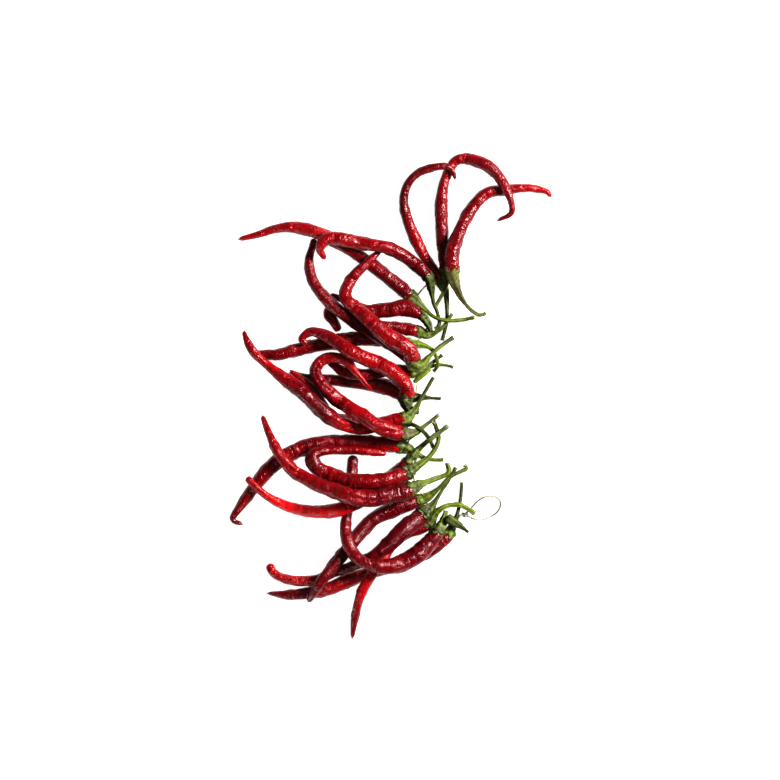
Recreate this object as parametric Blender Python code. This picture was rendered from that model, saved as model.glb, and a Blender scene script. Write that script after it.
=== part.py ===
"""A string of red chillies lying on a table.

Twenty-five long pods, each on its own stalk, hang on one cream twine that is drawn
through the stalks just behind the caps. The twine ends in a knot and a free loop.
Plan positions are in millimetres: x to the right, y towards the top of the string,
with the table at z = 0. Heights are worked out by laying the chillies over one
another. +Z is up and the finished objects are in metres.
"""

import math
from dataclasses import dataclass

import bmesh
import bpy
import numpy as np
from mathutils import Matrix, Vector

MM = 0.001

# Air between neighbours, and what a settled pod keeps over the one beneath it.
SEAM = 0.3
CLEARANCE = 0.9

# Pods: seven-sided rings, closer together where the pod bends. The shoulder swells from
# a share of the first width, and the tip narrows to a share of the last.
POD_SIDES = 7
LONGEST_STEP = 17.0
SHORTEST_STEP = 2.6
POD_TURN = math.radians(34)
SHOULDER_LENGTH = 5.0
SHOULDER_START = 0.62
SHOULDER_RING = 1.2
TIP_ROUNDING = 2.4
TIP_END = 0.45
TIP_RING = 0.7

# Stalks: a cap that fits the shoulder, a neck and a thin run with a swollen end.
STALK_SIDES = 6
STALK_STEP = 12.0
STALK_TURN = math.radians(50)
STALK_WIDTH = 2.9
CAP_SHARE = 0.74
CAP_LENGTH = 11.0
CAP_TAPER = 15.0
CAP_CURVE = 1.6
CAP_RINGS = (0.75, 0.25)
LONGEST_CAP_SHARE = 0.8
END_SWELLING = 0.5
END_LENGTH = 2.0
STALK_DROOP = 20.0

# Laying: how far, along a pod and along a thin stalk, a crossing lifts it.
POD_REACH = 20.0
STALK_REACH = 6.0
SETTLING_ROUNDS = 40
SETTLED = 0.01
SMOOTHING_ROUNDS = 4
FLAT_SNAP = 0.12

# Middle lines: parts of a curve between two given points, the step between places read
# from it, and how far ahead and behind a ring looks for its direction.
CURVE_PARTS = 24
SAMPLE_STEP = 1.5
LOOK_AHEAD = 0.8

# Twine: threaded through every neck, then a knot and a loop that lies on the table. It
# starts as far before its first neck as a share of the way to the next one.
TWINE_WIDTH = 1.3
BORE_WIDTH = 2.2
BORE_SIDES = 5
NECK_BACK = 4.5
LOOP_POINT_STEP = 3.9
TWINE_POINT_STEP = 6.4
TWINE_FINE_STEP = 0.5
TWINE_START = 0.6
KNOT_SIZE = (6.0, 4.4, 3.4)
KNOT_PLACE = (59, -96)
KNOT_LEVEL = -1.0
LOOP_RISE = 3.0
LOOP_ROUTE = (
    (64.0, -98.4), (71, -100), (79, -98), (86, -93), (88, -86),
    (85, -82), (78, -81), (71, -84), (66, -89), (61.8, -93.2),
)

SKIN_DEEP = (0.30, 0.008, 0.014)
SKIN_BRIGHT = (0.55, 0.012, 0.012)
STALK_GREEN = (0.16, 0.24, 0.03)
STALK_DARK = (0.05, 0.08, 0.012)
TWINE_CREAM = (0.60, 0.50, 0.32)


@dataclass
class Chilli:
    """One chilli in plan: its stalk from the free end inwards, then its pod to the tip.

    widths are the pod's, at even steps from shoulder to tip. levels rank what lies over
    what, at the stalk's end, the shoulder and the tip: the higher passes over the lower.
    """

    name: str
    stalk: tuple
    pod: tuple
    widths: tuple
    levels: tuple
    skin: tuple = SKIN_DEEP
    green: tuple = STALK_GREEN
    stalk_width: float = STALK_WIDTH


CHILLIES = (
    Chilli(
        "01",
        stalk=((41, 44), (44, 55), (45, 70), (44, 82)),
        pod=(
            (40, 91), (25.5, 113.5), (13, 142), (10.5, 160),
            (18, 175), (33, 182), (45, 183), (49.8, 179), (51.2, 173),
        ),
        widths=(9.6, 8.2, 9.8, 7.2, 6.6, 6.4, 3.0),
        levels=(0.5, 1, 3),
        green=STALK_DARK,
    ),
    Chilli(
        "02",
        stalk=((36, 71), (39, 77), (43, 85), (44, 93)),
        pod=(
            (44, 100), (41.5, 124), (40.5, 156), (45.5, 178), (53.5, 188.5),
            (72, 186.5), (86, 175), (95, 158.5), (96.5, 146), (86, 140),
        ),
        widths=(10.4, 9.8, 9.8, 10.2, 9.4, 6.8, 8.4, 10.0, 10.2, 7.2, 5.0, 2.6),
        levels=(2, 2, 2),
    ),
    Chilli(
        "03",
        stalk=((76, 66), (73, 64), (67, 66), (58, 75), (52, 86)),
        pod=(
            (49, 98), (49.5, 116.5), (56.5, 134), (65.5, 150.5),
            (78, 162), (92, 164), (109, 166), (118.5, 165.2), (124.5, 163.4), (128.3, 159.4),
        ),
        widths=(11.2, 11.8, 10.0, 9.6, 9.6, 8.0, 6.8, 3.8),
        levels=(3, 3, 1),
        green=STALK_DARK,
    ),
    Chilli(
        "04",
        stalk=((35, 53), (38, 55), (38, 63), (34, 74), (32, 86)),
        pod=((30.5, 93.5), (17, 106.5), (0.5, 116.5), (-27.5, 122), (-50, 125.5), (-57, 117), (-53, 109)),
        widths=(9.6, 10.2, 10.4, 10.6, 11.4, 9.6, 4.4),
        levels=(3, 6, 6),
        skin=SKIN_BRIGHT,
    ),
    Chilli(
        "05",
        stalk=((67, 62), (55, 60), (42, 60), (34, 63), (24, 72)),
        pod=((17, 78), (-4.5, 95.5), (-33.5, 117), (-63, 131.5), (-85, 134.5), (-105, 129), (-121.5, 125)),
        widths=(10.4, 10.6, 10.0, 11.0, 9.8, 6.6, 3.4),
        levels=(3.8, 3.6, 4),
    ),
    Chilli(
        "06",
        stalk=((41, 32), (34, 27), (26, 22)),
        pod=((17, 28), (-6.5, 44.5), (-36, 63), (-59, 85), (-66, 102), (-63.5, 116), (-61.5, 125)),
        widths=(9.6, 9.6, 9.4, 9.6, 9.6, 7.4, 5.2),
        levels=(1.2, 3, 3),
        green=STALK_DARK,
    ),
    Chilli(
        "07",
        stalk=((50, 46), (40, 39), (30, 30), (23.4, 23.2)),
        pod=(
            (19, 25), (14, 36), (-1, 45.5), (-23.5, 65.5),
            (-36.5, 78.5), (-32.5, 91), (-22, 103), (-7, 117),
        ),
        widths=(12.0, 13.6, 13.2, 12.0, 10.6, 9.4, 7.2, 3.4),
        levels=(5.5, 5.5, 5.5),
        stalk_width=3.4,
    ),
    Chilli(
        "08",
        stalk=((32, 51), (30, 57)),
        pod=((26, 63), (15, 69), (1, 68.5), (-18, 67.5), (-37, 76.5), (-48.5, 80)),
        widths=(11.2, 12.4, 12.0, 10.2, 6.6, 4.2),
        levels=(4.4, 4.5, 2),
        green=STALK_DARK,
    ),
    Chilli(
        "09",
        stalk=((49, 65), (44, 58), (39, 52), (31, 48)),
        pod=(
            (22, 51), (2, 54.5), (-19, 57.5), (-36, 66),
            (-46.5, 70), (-50, 65.5), (-46, 59), (-42, 52),
        ),
        widths=(9.6, 9.2, 8.2, 8.0, 8.2, 8.6, 8.6, 6.4),
        levels=(2, 2, 2),
    ),
    Chilli(
        "10",
        stalk=((34, 19), (37, 22), (37, 27), (34, 35), (26, 40)),
        pod=((15, 40), (-13, 45.5), (-45, 42), (-69, 38), (-93, 32), (-110, 33)),
        widths=(10.0, 10.8, 12.6, 10.4, 10.0, 5.8),
        levels=(1.5, 1.5, 1.5),
    ),
    Chilli(
        "11",
        stalk=((22, -14), (15, -12)),
        pod=(
            (12, -4), (12.5, 5.5), (3, 17), (-9.5, 24.5), (-30.5, 33.5),
            (-49.5, 46), (-64.5, 50.5), (-71.5, 44.5), (-67.5, 41),
        ),
        widths=(12.0, 11.8, 12.0, 11.8, 10.8, 9.8, 7.8, 5.0),
        levels=(1, 5, 5),
        green=STALK_DARK,
    ),
    Chilli(
        "12",
        stalk=((34, 14), (29, 6), (23, -5), (17, -14)),
        pod=(
            (12, -18), (-5, -22), (-21, -27), (-36.5, -23.5), (-52, -15.5),
            (-68.5, 0.5), (-93, 19), (-108, 32), (-116.5, 45), (-117.5, 51),
        ),
        widths=(10.4, 10.0, 9.6, 11.8, 12.2, 11.8, 10.8, 7.0, 7.4, 3.8),
        levels=(3.5, 3.5, 3.5),
    ),
    Chilli(
        "13",
        stalk=((40, -3), (27, -2)),
        pod=((14, -2), (-1, 5.5), (-29, 10), (-55, 12.5), (-70, 13.5), (-81, 18)),
        widths=(9.2, 11.8, 10.0, 9.0, 7.8, 5.0),
        levels=(0.5, 0.5, 0.5),
        green=STALK_DARK,
        stalk_width=2.4,
    ),
    Chilli(
        "14",
        stalk=((50, 22), (45, 24), (36, 24), (26, 20)),
        pod=((17, 18), (3, 21), (-13, 17), (-34.5, 17.5), (-50, 26.5)),
        widths=(8.8, 9.2, 9.2, 9.0, 5.0),
        levels=(1, 1, 1),
        stalk_width=2.4,
    ),
    Chilli(
        "15",
        stalk=((38, -16), (29, -23), (21, -29)),
        pod=(
            (12, -31), (-3.5, -28), (-26.5, -14.5), (-48.5, 1), (-57.5, 11), (-60.3, 20),
            (-55, 27.5), (-45, 29.8), (-35.5, 27), (-27.5, 17.5), (-15.3, 3.4),
        ),
        widths=(11.6, 11.4, 11.8, 11.6, 11.2, 10.4, 9.4, 9.2, 7.4, 5.2, 2.4),
        levels=(3, 4.5, 4.5),
    ),
    Chilli(
        "16",
        stalk=((34, -42), (30, -34), (22, -26), (14, -23)),
        pod=((6, -25), (-20.5, -22), (-46.5, -17.5), (-62, 4), (-80.5, 19.5)),
        widths=(9.6, 10.6, 7.8, 8.2, 3.2),
        levels=(3.5, 1, 1),
    ),
    Chilli(
        "17",
        stalk=((42, -52), (31, -52), (19, -46)),
        pod=(
            (9, -41), (-21, -38.5), (-45, -37.5), (-67, -41), (-86.5, -48.5),
            (-100, -61), (-110.5, -75.5), (-121.5, -91.5), (-127, -100), (-119.5, -103.5),
        ),
        widths=(12.0, 12.2, 11.6, 11.6, 12.6, 12.6, 10.8, 9.2, 6.6, 3.2),
        levels=(0.8, 2, 2),
    ),
    Chilli(
        "18",
        stalk=((34, -21), (38, -29), (37, -40), (30, -50), (22, -56)),
        pod=(
            (13, -62), (-3, -67.5), (-25, -69), (-46, -65.5), (-61, -56),
            (-62, -48), (-54.5, -45), (-41, -44), (-21.5, -45), (-4.5, -47),
        ),
        widths=(11.2, 11.6, 12.2, 13.0, 12.6, 11.8, 7.2, 6.4, 6.4, 4.4),
        levels=(5, 4, 4),
        skin=SKIN_BRIGHT,
        stalk_width=3.6,
    ),
    Chilli(
        "19",
        stalk=((45, -55), (46, -62), (38, -66), (26, -70)),
        pod=(
            (16, -75), (0.5, -79), (-22, -82.5), (-44.5, -76.5),
            (-67.5, -67.5), (-85, -53.5), (-98.5, -28.5), (-103, -17),
        ),
        widths=(13.6, 13.8, 14.2, 12.2, 10.6, 10.2, 7.2, 3.8),
        levels=(5, 5, 5),
        stalk_width=3.8,
    ),
    Chilli(
        "20",
        stalk=((45, -25), (40, -29), (28, -38), (20, -46)),
        pod=(
            (14, -54), (-4.5, -69.5), (-23.5, -83), (-42, -91.5),
            (-66, -93), (-88.5, -87), (-106, -76), (-115, -66.5),
        ),
        widths=(10.4, 10.8, 11.4, 11.4, 10.0, 8.2, 6.2, 5.8),
        levels=(6, 3, 4.5),
        skin=SKIN_BRIGHT,
        stalk_width=3.6,
    ),
    Chilli(
        "21",
        stalk=((59, -56), (61, -59), (54, -62), (47, -66), (39, -74), (30, -81)),
        pod=(
            (23, -84), (5, -90.5), (-13, -99), (-28, -114),
            (-39.5, -129.5), (-53.5, -145.5), (-66, -165),
        ),
        widths=(10.4, 12.4, 11.2, 11.0, 9.8, 9.2, 4.4),
        levels=(3, 1.5, 1.5),
    ),
    Chilli(
        "22",
        stalk=((52, -58), (49, -64), (42, -74), (34, -87)),
        pod=(
            (26, -95), (15, -103.5), (4, -113), (-6, -123), (-25, -134.5),
            (-45.5, -142), (-65, -149), (-82, -147.5), (-93.5, -143), (-97.5, -136.5),
        ),
        widths=(12.0, 14.6, 11.6, 8.6, 7.6, 8.2, 7.4, 7.0),
        levels=(1, 1, 1),
    ),
    Chilli(
        "23",
        stalk=((44, -93), (42, -101)),
        pod=(
            (37, -110), (23, -126), (-2, -137), (-25.5, -131.5),
            (-35.5, -114), (-35.5, -96), (-32.5, -80), (-30.5, -50),
        ),
        widths=(11.2, 14.4, 13.2, 9.4, 10.0, 7.6, 9.0, 8.2),
        levels=(0.8, 4, 0.5),
        stalk_width=3.6,
    ),
    Chilli(
        "24",
        stalk=((67, -95), (62, -91), (53, -88), (44, -89), (36, -94)),
        pod=((30, -103), (5, -115), (-10, -137), (-22, -154), (-28.5, -176), (-31, -194.5)),
        widths=(10.4, 9.0, 8.6, 8.4, 7.2, 3.2),
        levels=(0.9, 0.5, 0.5),
        stalk_width=3.8,
    ),
    Chilli(
        "25",
        stalk=((57, -70), (56, -81), (54, -93), (50, -101)),
        pod=(
            (47, -110), (36.5, -122), (18.5, -131), (-4.5, -139.5),
            (-27, -145.5), (-50, -155), (-77, -160), (-98.5, -159),
        ),
        widths=(9.6, 9.4, 9.0, 8.6, 11.0, 11.2, 8.6, 3.0),
        levels=(0, 0, 0),
        stalk_width=2.6,
    ),
)

# Two broken stalks that kept no pod: plan points from the broken end, and widths there.
STUBS = (
    Chilli(
        "26",
        stalk=(),
        pod=((44, -98), (51, -102), (57, -106), (62, -110)),
        widths=(6.0, 6.0, 4.0, 1.6),
        levels=(2, 2, 2),
    ),
    Chilli(
        "27",
        stalk=(),
        pod=((18, 10), (24, 15), (32, 21)),
        widths=(2.4, 3.4, 2.4),
        levels=(2, 2, 2),
    ),
)

# The order in which the twine is drawn through the stalks.
THREADING = (
    "03", "02", "01", "04", "05", "08", "09", "10", "07", "06", "14", "13", "11",
    "12", "16", "15", "17", "20", "18", "19", "21", "22", "24", "23", "25",
)


def clear_scene():
    for item in list(bpy.data.objects):
        bpy.data.objects.remove(item, do_unlink=True)


def smooth_curve(points, step):
    """Evenly spaced points on one smooth curve through the given ones (centripetal)."""
    knots = np.array(points, float)
    knots = np.vstack([2 * knots[0] - knots[1], knots, 2 * knots[-1] - knots[-2]])
    fine = []
    for a, b, c, d in zip(knots, knots[1:], knots[2:], knots[3:]):
        t1 = np.linalg.norm(b - a) ** 0.5
        t2 = t1 + np.linalg.norm(c - b) ** 0.5
        t3 = t2 + np.linalg.norm(d - c) ** 0.5
        for t in np.linspace(t1, t2, CURVE_PARTS, endpoint=False):
            ab = (t1 - t) / t1 * a + t / t1 * b
            bc = (t2 - t) / (t2 - t1) * b + (t - t1) / (t2 - t1) * c
            cd = (t3 - t) / (t3 - t2) * c + (t - t2) / (t3 - t2) * d
            abc = (t2 - t) / t2 * ab + t / t2 * bc
            bcd = (t3 - t) / (t3 - t1) * bc + (t - t1) / (t3 - t1) * cd
            fine.append((t2 - t) / (t2 - t1) * abc + (t - t1) / (t2 - t1) * bcd)
    fine.append(knots[-2])
    fine = np.array(fine)
    along = arc_lengths(fine)
    count = max(int(round(along[-1] / step)), 2) + 1
    return resampled(fine, along, np.linspace(0, along[-1], count))


def arc_lengths(points):
    return np.concatenate([[0], np.cumsum(np.linalg.norm(np.diff(points, axis=0), axis=1))])


def resampled(points, along, places):
    return np.column_stack([np.interp(places, along, axis) for axis in points.T])


def eased(values, share):
    """The value at a share from 0 to 1 of evenly spaced values, eased between them."""
    place = np.clip(share, 0, 1) * (len(values) - 1)
    low = np.minimum(place.astype(int), len(values) - 2)
    part = place - low
    part = part * part * (3 - 2 * part)
    values = np.array(values)
    return values[low] * (1 - part) + values[low + 1] * part


class Laid:
    """A chilli laid out along its own length: plan, radius, rank and height."""

    def __init__(self, chilli):
        self.chilli = chilli
        self.plan = smooth_curve(chilli.stalk + chilli.pod, SAMPLE_STEP)
        self.along = arc_lengths(self.plan)
        self.length = self.along[-1]
        self.shoulder = self.nearest(chilli.pod[0]) if chilli.stalk else 0.0
        self.radius = self.radius_at(self.along)
        self.rank = self.rank_at(self.along)
        self.sides = np.where(self.along < self.shoulder, STALK_SIDES, POD_SIDES)
        self.rest = self.resting_height()
        self.height = self.rest.copy()
        gaps = self.along[:, None] - self.along[None, :]
        thin = np.clip((self.shoulder - self.along) / CAP_LENGTH, 0, 1)
        self.reach = np.exp(-0.5 * (gaps / (POD_REACH + (STALK_REACH - POD_REACH) * thin)) ** 2)

    def nearest(self, point):
        away = np.linalg.norm(self.plan - np.array(point, float), axis=1)
        return self.along[away.argmin()]

    def radius_at(self, along):
        """Pod radius past the shoulder, cap and stalk radius before it."""
        pod = self.length - self.shoulder
        past = np.maximum(along - self.shoulder, 0)
        body = eased(self.chilli.widths, past / pod) / 2
        rise = np.clip(past / SHOULDER_LENGTH, 0, 1)
        if self.chilli.stalk:
            body = body * (SHOULDER_START + (1 - SHOULDER_START) * np.sqrt(rise * (2 - rise)))
        left = np.clip((self.length - along) / TIP_ROUNDING, 0, 1)
        body = body * (TIP_END + (1 - TIP_END) * np.sqrt(left * (2 - left)))
        stalk = self.stalk_radius(self.shoulder - along, along)
        return np.where(along < self.shoulder, stalk, body)

    def stalk_radius(self, back, from_end):
        thin = self.chilli.stalk_width / 2
        rim = self.chilli.widths[0] / 2 * CAP_SHARE
        reach = min(CAP_TAPER, self.shoulder * LONGEST_CAP_SHARE) if self.shoulder else CAP_TAPER
        flare = np.clip(1 - back / reach, 0, 1) ** CAP_CURVE
        swelling = END_SWELLING * np.clip(1 - from_end / END_LENGTH, 0, 1)
        return thin + (rim - thin) * flare + swelling

    def rank_at(self, along):
        end, shoulder, tip = self.chilli.levels
        neck = max(self.shoulder - CAP_LENGTH, 0) - 1e-6
        places = (neck, self.shoulder, self.length)
        return np.interp(along, places, (end, shoulder, tip))

    def resting_height(self):
        """Height of the middle line where nothing lies underneath."""
        floor = self.radius * np.cos(math.pi / self.sides)
        back = np.maximum(self.shoulder - self.along, 0)
        pod = self.chilli.widths[0] / 2 * math.cos(math.pi / POD_SIDES)
        drooping = floor + (pod - floor) * np.exp(-back / STALK_DROOP)
        return np.where(back > 0, np.maximum(floor, drooping), floor)

    def raise_over(self, needed):
        """Lifts the middle line over what lies underneath, easing down on both sides."""
        lift = np.maximum(needed - self.rest, 0)
        height = self.rest + (lift[None, :] * self.reach).max(axis=1)
        for _ in range(SMOOTHING_ROUNDS):
            eased_height = height.copy()
            eased_height[1:-1] = (height[:-2] + 2 * height[1:-1] + height[2:]) / 4
            height = np.maximum(height, eased_height)
        self.height = height

    def spine(self):
        return np.column_stack([self.plan, self.height])

    def neck(self):
        """The point on the middle line where the twine is drawn through."""
        return resampled(self.spine(), self.along, [self.shoulder - NECK_BACK])[0]


def knot_as_laid():
    """The knot and the two starts of the loop, so that stalks pass over them."""
    x, y = KNOT_PLACE
    length, width, _ = KNOT_SIZE
    return Laid(
        Chilli(
            "knot",
            stalk=(),
            pod=((x - length / 2, y + 1), (x, y), LOOP_ROUTE[0]),
            widths=(width, width, TWINE_WIDTH),
            levels=(KNOT_LEVEL, KNOT_LEVEL, KNOT_LEVEL),
        )
    )


def loop_as_laid():
    return Laid(
        Chilli(
            "loop",
            stalk=(),
            pod=LOOP_ROUTE,
            widths=(TWINE_WIDTH, TWINE_WIDTH),
            levels=(KNOT_LEVEL, KNOT_LEVEL, KNOT_LEVEL),
        )
    )


def crossings(laid):
    """For every place where one thing lies over another: who, where and how much higher."""
    upper, lower, rise = [], [], []
    starts = np.cumsum([0] + [len(item.along) for item in laid])
    for i, first in enumerate(laid):
        for j, second in enumerate(laid):
            if i == j:
                continue
            apart = np.linalg.norm(first.plan[:, None] - second.plan[None, :], axis=2)
            reach = first.radius[:, None] + second.radius[None, :] + CLEARANCE
            over = (apart < reach) & (first.rank[:, None] > second.rank[None, :])
            mine, theirs = np.nonzero(over)
            upper.append(starts[i] + mine)
            lower.append(starts[j] + theirs)
            rise.append(np.sqrt(reach[over] ** 2 - apart[over] ** 2))
    return starts, np.concatenate(upper), np.concatenate(lower), np.concatenate(rise)


def settle(laid):
    """Raises each chilli over those of a lower rank until nothing moves."""
    starts, upper, lower, rise = crossings(laid)
    for _ in range(SETTLING_ROUNDS):
        heights = np.concatenate([item.height for item in laid])
        needed = np.zeros(len(heights))
        np.maximum.at(needed, upper, heights[lower] + rise)
        for item, start in zip(laid, starts):
            item.raise_over(needed[start:start + len(item.along)])
        settled = np.concatenate([item.height for item in laid])
        if np.abs(settled - heights).max() < SETTLED:
            return


def ring_places(item, start, end, longest, turn):
    """Places along the middle line for rings, closer together where it bends."""
    spine = item.spine()
    inside = (item.along > start) & (item.along < end)
    along = item.along[inside]
    heading = np.gradient(spine, item.along, axis=0)
    heading /= np.linalg.norm(heading, axis=1)[:, None]
    bend = np.linalg.norm(np.gradient(heading, item.along, axis=0), axis=1)[inside]
    places = [start]
    while end - places[-1] > SHORTEST_STEP:
        near = np.abs(along - places[-1] - SHORTEST_STEP) < SHORTEST_STEP * 1.5
        sharpest = bend[near].max() if near.any() else 0
        step = float(np.clip(turn / max(sharpest, 1e-6), SHORTEST_STEP, longest))
        places.append(places[-1] + step)
    if len(places) > 2 and end - places[-1] < SHORTEST_STEP:
        places.pop()
    return places + [end]


def ring_frame(centre, ahead, sides):
    """Places a ring square to the way ahead, with a flat side underneath."""
    ahead = Vector(ahead).normalized()
    side = ahead.cross(Vector((0, 0, 1))).normalized()
    up = side.cross(ahead)
    turned = Matrix((side, up, side.cross(up))).transposed().to_4x4()
    start = math.pi / sides if sides % 2 == 0 else 0.0
    return Matrix.Translation(centre) @ turned @ Matrix.Rotation(start, 4, "Z")


def tube_mesh(name, centres, ways, radii, sides):
    """Rings bridged one to the next and capped at both ends, in metres."""
    shape = bmesh.new()
    last = len(centres) - 1
    before = None
    for index, (centre, ahead, radius) in enumerate(zip(centres, ways, radii)):
        ring = bmesh.ops.create_circle(
            shape,
            cap_ends=index in (0, last),
            segments=sides,
            radius=radius,
            matrix=ring_frame(centre, ahead, sides),
        )["verts"]
        edges = list({edge for vert in ring for edge in vert.link_edges})
        if before:
            bmesh.ops.bridge_loops(shape, edges=before + edges)
        before = edges
    for vert in shape.verts:
        if vert.co.z < FLAT_SNAP:
            vert.co.z = 0
    bmesh.ops.scale(shape, vec=(MM, MM, MM), verts=shape.verts)
    bmesh.ops.recalc_face_normals(shape, faces=shape.faces)
    mesh = bpy.data.meshes.new(name)
    shape.to_mesh(mesh)
    shape.free()
    mesh.shade_smooth()
    return mesh


def swept(name, item, places, sides, material):
    """A solid of part of a laid chilli, with a ring at each of the places."""
    spine = item.spine()
    places = np.array(places, float)
    centres = resampled(spine, item.along, places)
    behind = resampled(spine, item.along, places - LOOK_AHEAD)
    ways = resampled(spine, item.along, places + LOOK_AHEAD) - behind
    mesh = tube_mesh(name, centres, ways, item.radius_at(places), sides)
    mesh.materials.append(material)
    return linked(bpy.data.objects.new(name, mesh))


def linked(item):
    bpy.context.scene.collection.objects.link(item)
    return item


def finish(name, colour, roughness):
    material = bpy.data.materials.new(name)
    material.use_nodes = True
    shader = material.node_tree.nodes["Principled BSDF"]
    shader.inputs["Base Color"].default_value = (*colour, 1)
    shader.inputs["Roughness"].default_value = roughness
    shader.inputs["Metallic"].default_value = 0
    material.diffuse_color = (*colour, 1)
    return material


def make_pod(item):
    name = f"pod_{item.chilli.name}"
    start = item.shoulder + SEAM / 2
    full = item.shoulder + SHOULDER_LENGTH
    narrowing = item.length - TIP_ROUNDING
    body = ring_places(item, full, narrowing, LONGEST_STEP, POD_TURN)
    places = [start, start + SHOULDER_RING] + body + [item.length - TIP_RING, item.length]
    return swept(name, item, places, POD_SIDES, finish(name, item.chilli.skin, 0.25))


def make_stalk(item):
    name = f"stalk_{item.chilli.name}"
    end = item.shoulder - SEAM / 2
    neck, *cap = (end - CAP_LENGTH * share for share in CAP_RINGS)
    run = ring_places(item, END_LENGTH, max(neck, END_LENGTH + SHORTEST_STEP), STALK_STEP, STALK_TURN)
    places = sorted(place for place in {0.0, *run, *cap, end} if place >= 0)
    return swept(name, item, places, STALK_SIDES, finish(name, item.chilli.green, 0.5))


def make_stub(item):
    name = f"stalk_{item.chilli.name}"
    places = ring_places(item, 0.0, item.length, STALK_STEP / 2, STALK_TURN)
    return swept(name, item, places, STALK_SIDES, finish(name, item.chilli.green, 0.5))


def twine_route(laid):
    """The middle line of the twine through every neck and on to the knot."""
    by_name = {item.chilli.name: item for item in laid}
    necks = [by_name[name].neck() for name in THREADING]
    start = necks[0] + (necks[0] - necks[1]) * TWINE_START
    knot = np.array((KNOT_PLACE[0] - KNOT_SIZE[0] / 2 - SEAM, KNOT_PLACE[1], KNOT_SIZE[2] / 2))
    return smooth_curve([start] + necks + [knot], TWINE_POINT_STEP)


def make_twine(name, route, material):
    curve = bpy.data.curves.new(name, "CURVE")
    curve.dimensions = "3D"
    curve.bevel_depth = TWINE_WIDTH / 2 * MM
    curve.bevel_resolution = 2
    curve.use_fill_caps = True
    spline = curve.splines.new("POLY")
    spline.points.add(len(route) - 1)
    for point, place in zip(spline.points, route):
        point.co = (*(np.array(place) * MM), 1)
    curve.materials.append(material)
    return linked(bpy.data.objects.new(name, curve))


def bore_for_twine(items, route):
    """Drills each solid that the twine passes through, a little wider than the twine."""
    ways = np.gradient(route, axis=0)
    mesh = tube_mesh("twine_bore", route, ways, [BORE_WIDTH / 2] * len(route), BORE_SIDES)
    drill = linked(bpy.data.objects.new("twine_bore", mesh))
    drill.hide_render = True
    drill.display_type = "WIRE"
    fine = smooth_curve(route, TWINE_FINE_STEP) * MM
    for item in items:
        corners = np.array([vert.co for vert in item.data.vertices])
        low = corners.min(axis=0) - BORE_WIDTH * MM
        high = corners.max(axis=0) + BORE_WIDTH * MM
        if ((fine > low) & (fine < high)).all(axis=1).any():
            cut = item.modifiers.new("Twine bore", "BOOLEAN")
            cut.operation = "DIFFERENCE"
            cut.object = drill


def make_knot(material):
    """A small lump of wound twine, flat where it lies."""
    shape = bmesh.new()
    size = Vector(KNOT_SIZE) * MM
    place = Matrix.Translation((KNOT_PLACE[0] * MM, KNOT_PLACE[1] * MM, size.z / 2))
    stretch = Matrix.Diagonal((*size, 1))
    bmesh.ops.create_icosphere(shape, subdivisions=2, radius=0.5, matrix=place @ stretch)
    for vert in shape.verts:
        if vert.co.z < FLAT_SNAP * MM:
            vert.co.z = 0
    mesh = bpy.data.meshes.new("knot")
    shape.to_mesh(mesh)
    shape.free()
    mesh.shade_smooth()
    mesh.materials.append(material)
    return linked(bpy.data.objects.new("knot", mesh))


def loop_route():
    """The loop's middle line: up to the knot at both ends, on the table between."""
    plan = smooth_curve(LOOP_ROUTE, LOOP_POINT_STEP)
    along = arc_lengths(plan)
    ends = np.minimum(along, along[-1] - along)
    rise = (KNOT_SIZE[2] / 2 - TWINE_WIDTH / 2) * np.exp(-((ends / LOOP_RISE) ** 2))
    return np.column_stack([plan, TWINE_WIDTH / 2 + rise])


def main():
    clear_scene()
    laid = [Laid(chilli) for chilli in CHILLIES + STUBS]
    settle(laid + [knot_as_laid(), loop_as_laid()])
    solids = []
    for item in laid:
        if item.chilli.stalk:
            solids += [make_pod(item), make_stalk(item)]
        else:
            solids.append(make_stub(item))
    cream = finish("twine", TWINE_CREAM, 0.8)
    route = twine_route(laid)
    bore_for_twine(solids, route)
    make_twine("twine", route, cream)
    make_knot(cream)
    make_twine("twine_loop", loop_route(), cream)


main()
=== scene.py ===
"""Looks for a string of red chillies lying on a table.

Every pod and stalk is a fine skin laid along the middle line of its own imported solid:
pods with lumps, lengthwise folds and crosswise creases, stalks with ribs, a lobed cap
that grips the pod's shoulder and a dished cut end. The twine is three twisted plies.
Lengths are in metres.
"""

import itertools
import math
from dataclasses import dataclass
from functools import cache

import bmesh
import bpy
import numpy as np
from bpy.props import FloatProperty, FloatVectorProperty, IntProperty, PointerProperty
from bpy.types import Operator, Panel, PropertyGroup
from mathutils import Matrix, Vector
from mathutils.kdtree import KDTree


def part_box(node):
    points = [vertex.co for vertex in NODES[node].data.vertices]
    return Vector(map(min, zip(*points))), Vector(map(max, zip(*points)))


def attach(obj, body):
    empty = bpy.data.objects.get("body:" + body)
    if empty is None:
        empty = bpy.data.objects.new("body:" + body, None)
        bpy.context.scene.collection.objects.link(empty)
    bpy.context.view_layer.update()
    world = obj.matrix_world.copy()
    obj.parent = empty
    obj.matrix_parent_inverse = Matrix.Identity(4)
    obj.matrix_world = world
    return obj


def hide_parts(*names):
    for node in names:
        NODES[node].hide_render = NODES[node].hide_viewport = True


bl_info = {
    "name": "String of chillies",
    "version": (1, 0, 0),
    "blender": (4, 5, 0),
    "location": "View3D > Sidebar > Chillies",
    "description": "Builds the skins, stalks, twine and stage of a string of chillies",
    "category": "Add Mesh",
}

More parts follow.
